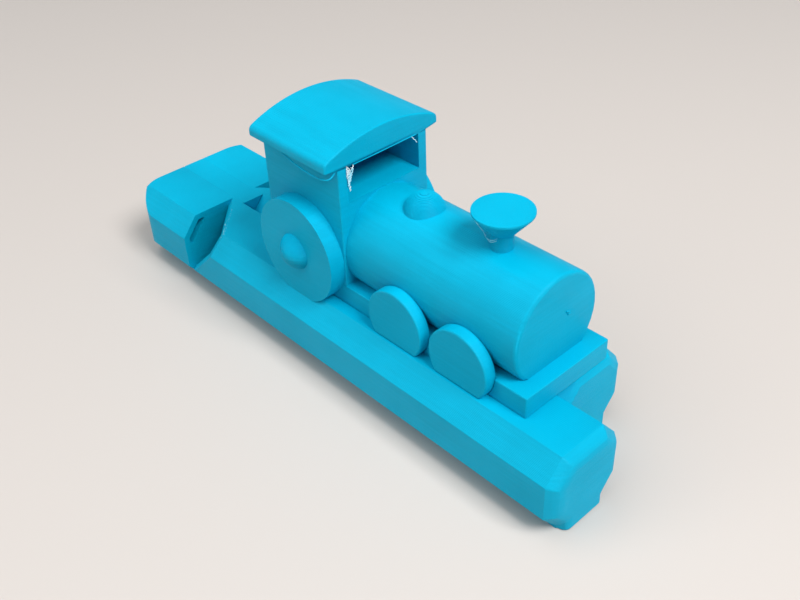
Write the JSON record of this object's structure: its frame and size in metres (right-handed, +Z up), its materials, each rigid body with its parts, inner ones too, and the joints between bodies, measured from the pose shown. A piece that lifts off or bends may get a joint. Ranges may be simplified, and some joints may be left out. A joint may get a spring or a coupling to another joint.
{
  "type": "train whistle",
  "caption": "Printed toy train whistle: two octagonal whistle tubes of unequal length side by side under a small steam locomotive.",
  "frame": {"origin": "middle of the whistle's footprint at table height (centre of the bottom of its bounding box)", "axes": "+X along the tubes towards the locomotive's front, +Y the locomotive's left side, +Z up"},
  "size_m": [0.147, 0.0396, 0.06],
  "materials": {
    "printed_plastic": "satin, with fine print layers"
  },
  "bodies": {
    "root": {"boiler_barrel": "printed_plastic", "boiler_front_plate": "printed_plastic", "cab_base": "printed_plastic", "cab_left_wall": "printed_plastic", "cab_rear_wall": "printed_plastic", "cab_right_wall": "printed_plastic", "cab_roof": "printed_plastic", "chassis_plate": "printed_plastic", "chimney": "printed_plastic", "left_end_cap": "printed_plastic", "left_fipple_block": "printed_plastic", "left_front_wheel": "printed_plastic", "left_hub_cap": "printed_plastic", "left_middle_wheel": "printed_plastic", "left_rear_wheel": "printed_plastic", "left_tube": "printed_plastic", "mouthpiece_bottom_web": "printed_plastic", "mouthpiece_top_web": "printed_plastic", "right_end_cap": "printed_plastic", "right_fipple_block": "printed_plastic", "right_front_wheel": "printed_plastic", "right_hub_cap": "printed_plastic", "right_middle_wheel": "printed_plastic", "right_rear_wheel": "printed_plastic", "right_tube": "printed_plastic", "steam_dome": "printed_plastic"}
  },
  "joints": []
}
